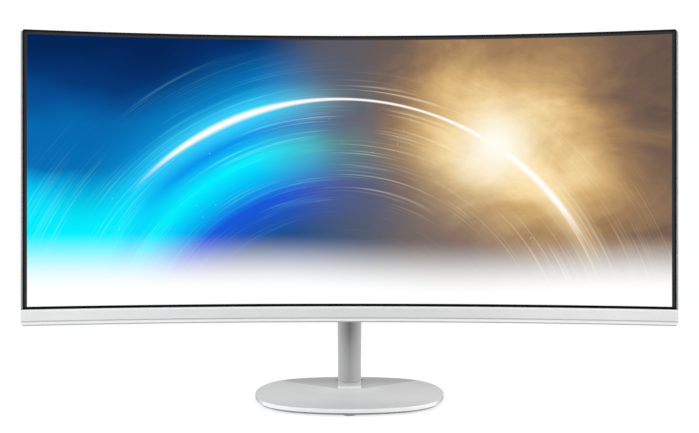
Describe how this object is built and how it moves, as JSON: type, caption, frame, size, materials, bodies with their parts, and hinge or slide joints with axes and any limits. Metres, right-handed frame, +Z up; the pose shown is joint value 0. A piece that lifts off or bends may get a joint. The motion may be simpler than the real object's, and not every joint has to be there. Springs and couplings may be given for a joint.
{
  "type": "computer monitor",
  "caption": "Curved ultrawide desktop monitor with a pale lower bar, slim round column, friction tilt hinge and low rounded base.",
  "frame": {"origin": "on the desk, at the centre of the base", "axes": "+X to the viewer's right, +Y away from the viewer towards the back, +Z up"},
  "size_m": [0.81, 0.2364, 0.4593],
  "materials": {
    "acrylic": "clear acrylic",
    "black_plastic": "fine matte moulding",
    "cast_alloy": "as cast",
    "chip_black": "black",
    "clear_film": "clear",
    "dark_screw": "black oxide",
    "foot_rubber": "matte pale grey",
    "galvanised_steel": "zinc-plated",
    "green_board": "green solder mask",
    "insert_brass": "machined",
    "key_black": "satin black",
    "led_phosphor": "yellow phosphor",
    "pale_plastic": "fine spark-eroded texture",
    "pale_steel": "grey powder coat",
    "port_metal": "nickel",
    "ribbon_film": "amber film",
    "satin_base": "satin silver paint",
    "satin_column": "satin anodised",
    "satin_grey": "satin grey paint",
    "satin_plinth": "satin with a bright front slope",
    "screen_glass": "anti-glare glass with a lit picture",
    "silver_plastic": "pale silver satin paint",
    "sleeve_blue": "printed sleeve without lettering",
    "steel_screw": "plated",
    "tan_board": "tan board",
    "weight_steel": "bare",
    "white_board": "white solder mask",
    "white_film": "white",
    "white_plastic": "white",
    "winding_tape": "yellow tape"
  },
  "bodies": {
    "stand": {"column_tube": "satin_column", "column_foot": "cast_alloy", "column_plinth": "satin_plinth", "base_cover": "satin_base", "base_weight": "weight_steel", "base_underplate": "pale_steel", "underplate_screws": "dark_screw", "rubber_feet": "foot_rubber", "hinge_yoke": "cast_alloy", "hinge_cover": "satin_grey", "hinge_cover_screws": "dark_screw"},
    "head": {"front_bezel": "black_plastic", "chin_trim": "silver_plastic", "lcd_panel": "screen_glass", "prism_film": "clear_film", "diffuser_film": "white_film", "light_guide": "acrylic", "reflector_sheet": "white_film", "led_strip": "white_board", "led_packages": "led_phosphor", "panel_frame": "white_plastic", "panel_back_pan": "galvanised_steel", "source_board": "green_board", "panel_ribbon": "ribbon_film", "board_tray": "galvanised_steel", "main_board": "green_board", "board_chips": "chip_black", "hdmi_ports": "port_metal", "display_port": "port_metal", "audio_jack": "chip_black", "power_board": "tan_board", "transformer": "winding_tape", "capacitors": "sleeve_blue", "ac_inlet": "chip_black", "board_screws": "steel_screw", "speaker_left": "chip_black", "speaker_right": "chip_black", "vesa_plate": "galvanised_steel", "vesa_inserts": "insert_brass", "rear_cover": "pale_plastic", "lock_slot_plate": "steel_screw", "cover_screws": "dark_screw", "key_board": "green_board", "key_switch": "chip_black", "power_switch": "chip_black", "hinge_bracket": "galvanised_steel", "hinge_bracket_screws": "steel_screw", "hinge_shaft": "steel_screw", "hinge_nut": "steel_screw", "friction_washers": "insert_brass", "spring_washers": "steel_screw"},
    "stick_ring": {"key_ring": "steel_screw"},
    "stick_stem": {"key_stem": "white_plastic"},
    "stick_cap": {"key_cap": "key_black"},
    "power_key": {"power_button": "key_black"},
    "thumbscrew": {"base_screw": "steel_screw"}
  },
  "joints": [
    {"name": "head_tilt", "type": "hinge", "parent": "stand", "child": "head", "pos_m": [0, 0.078, 0.26602], "axis": [-1, 0, 0], "range_deg": [-6.5, 18.5]},
    {"name": "stick_sideways", "type": "hinge", "parent": "head", "child": "stick_ring", "pos_m": [0.33523, -0.01496, 0.13841], "axis": [0, 0.0262, 0.9997], "range_deg": [-5, 5], "stiffness_Nm_per_rad": 0.03},
    {"name": "stick_up_down", "type": "hinge", "parent": "stick_ring", "child": "stick_stem", "pos_m": [0.33523, -0.01496, 0.13841], "axis": [0.9752, -0.2214, 0.0058], "range_deg": [-5, 5], "stiffness_Nm_per_rad": 0.03},
    {"name": "stick_press", "type": "slide", "parent": "stick_stem", "child": "stick_cap", "axis": [-0.2215, -0.9748, 0.0255], "range_m": [0, 0.0005], "stiffness_N_per_m": 1200},
    {"name": "power_press", "type": "slide", "parent": "head", "child": "power_key", "axis": [-0.2215, -0.9748, 0.0255], "range_m": [0, 0.0006], "stiffness_N_per_m": 1200},
    {"name": "base_screw_turn", "type": "hinge", "parent": "stand", "child": "thumbscrew", "pos_m": [0, 0.078, 0.01], "axis": [0, 0, 1], "continuous": true}
  ]
}
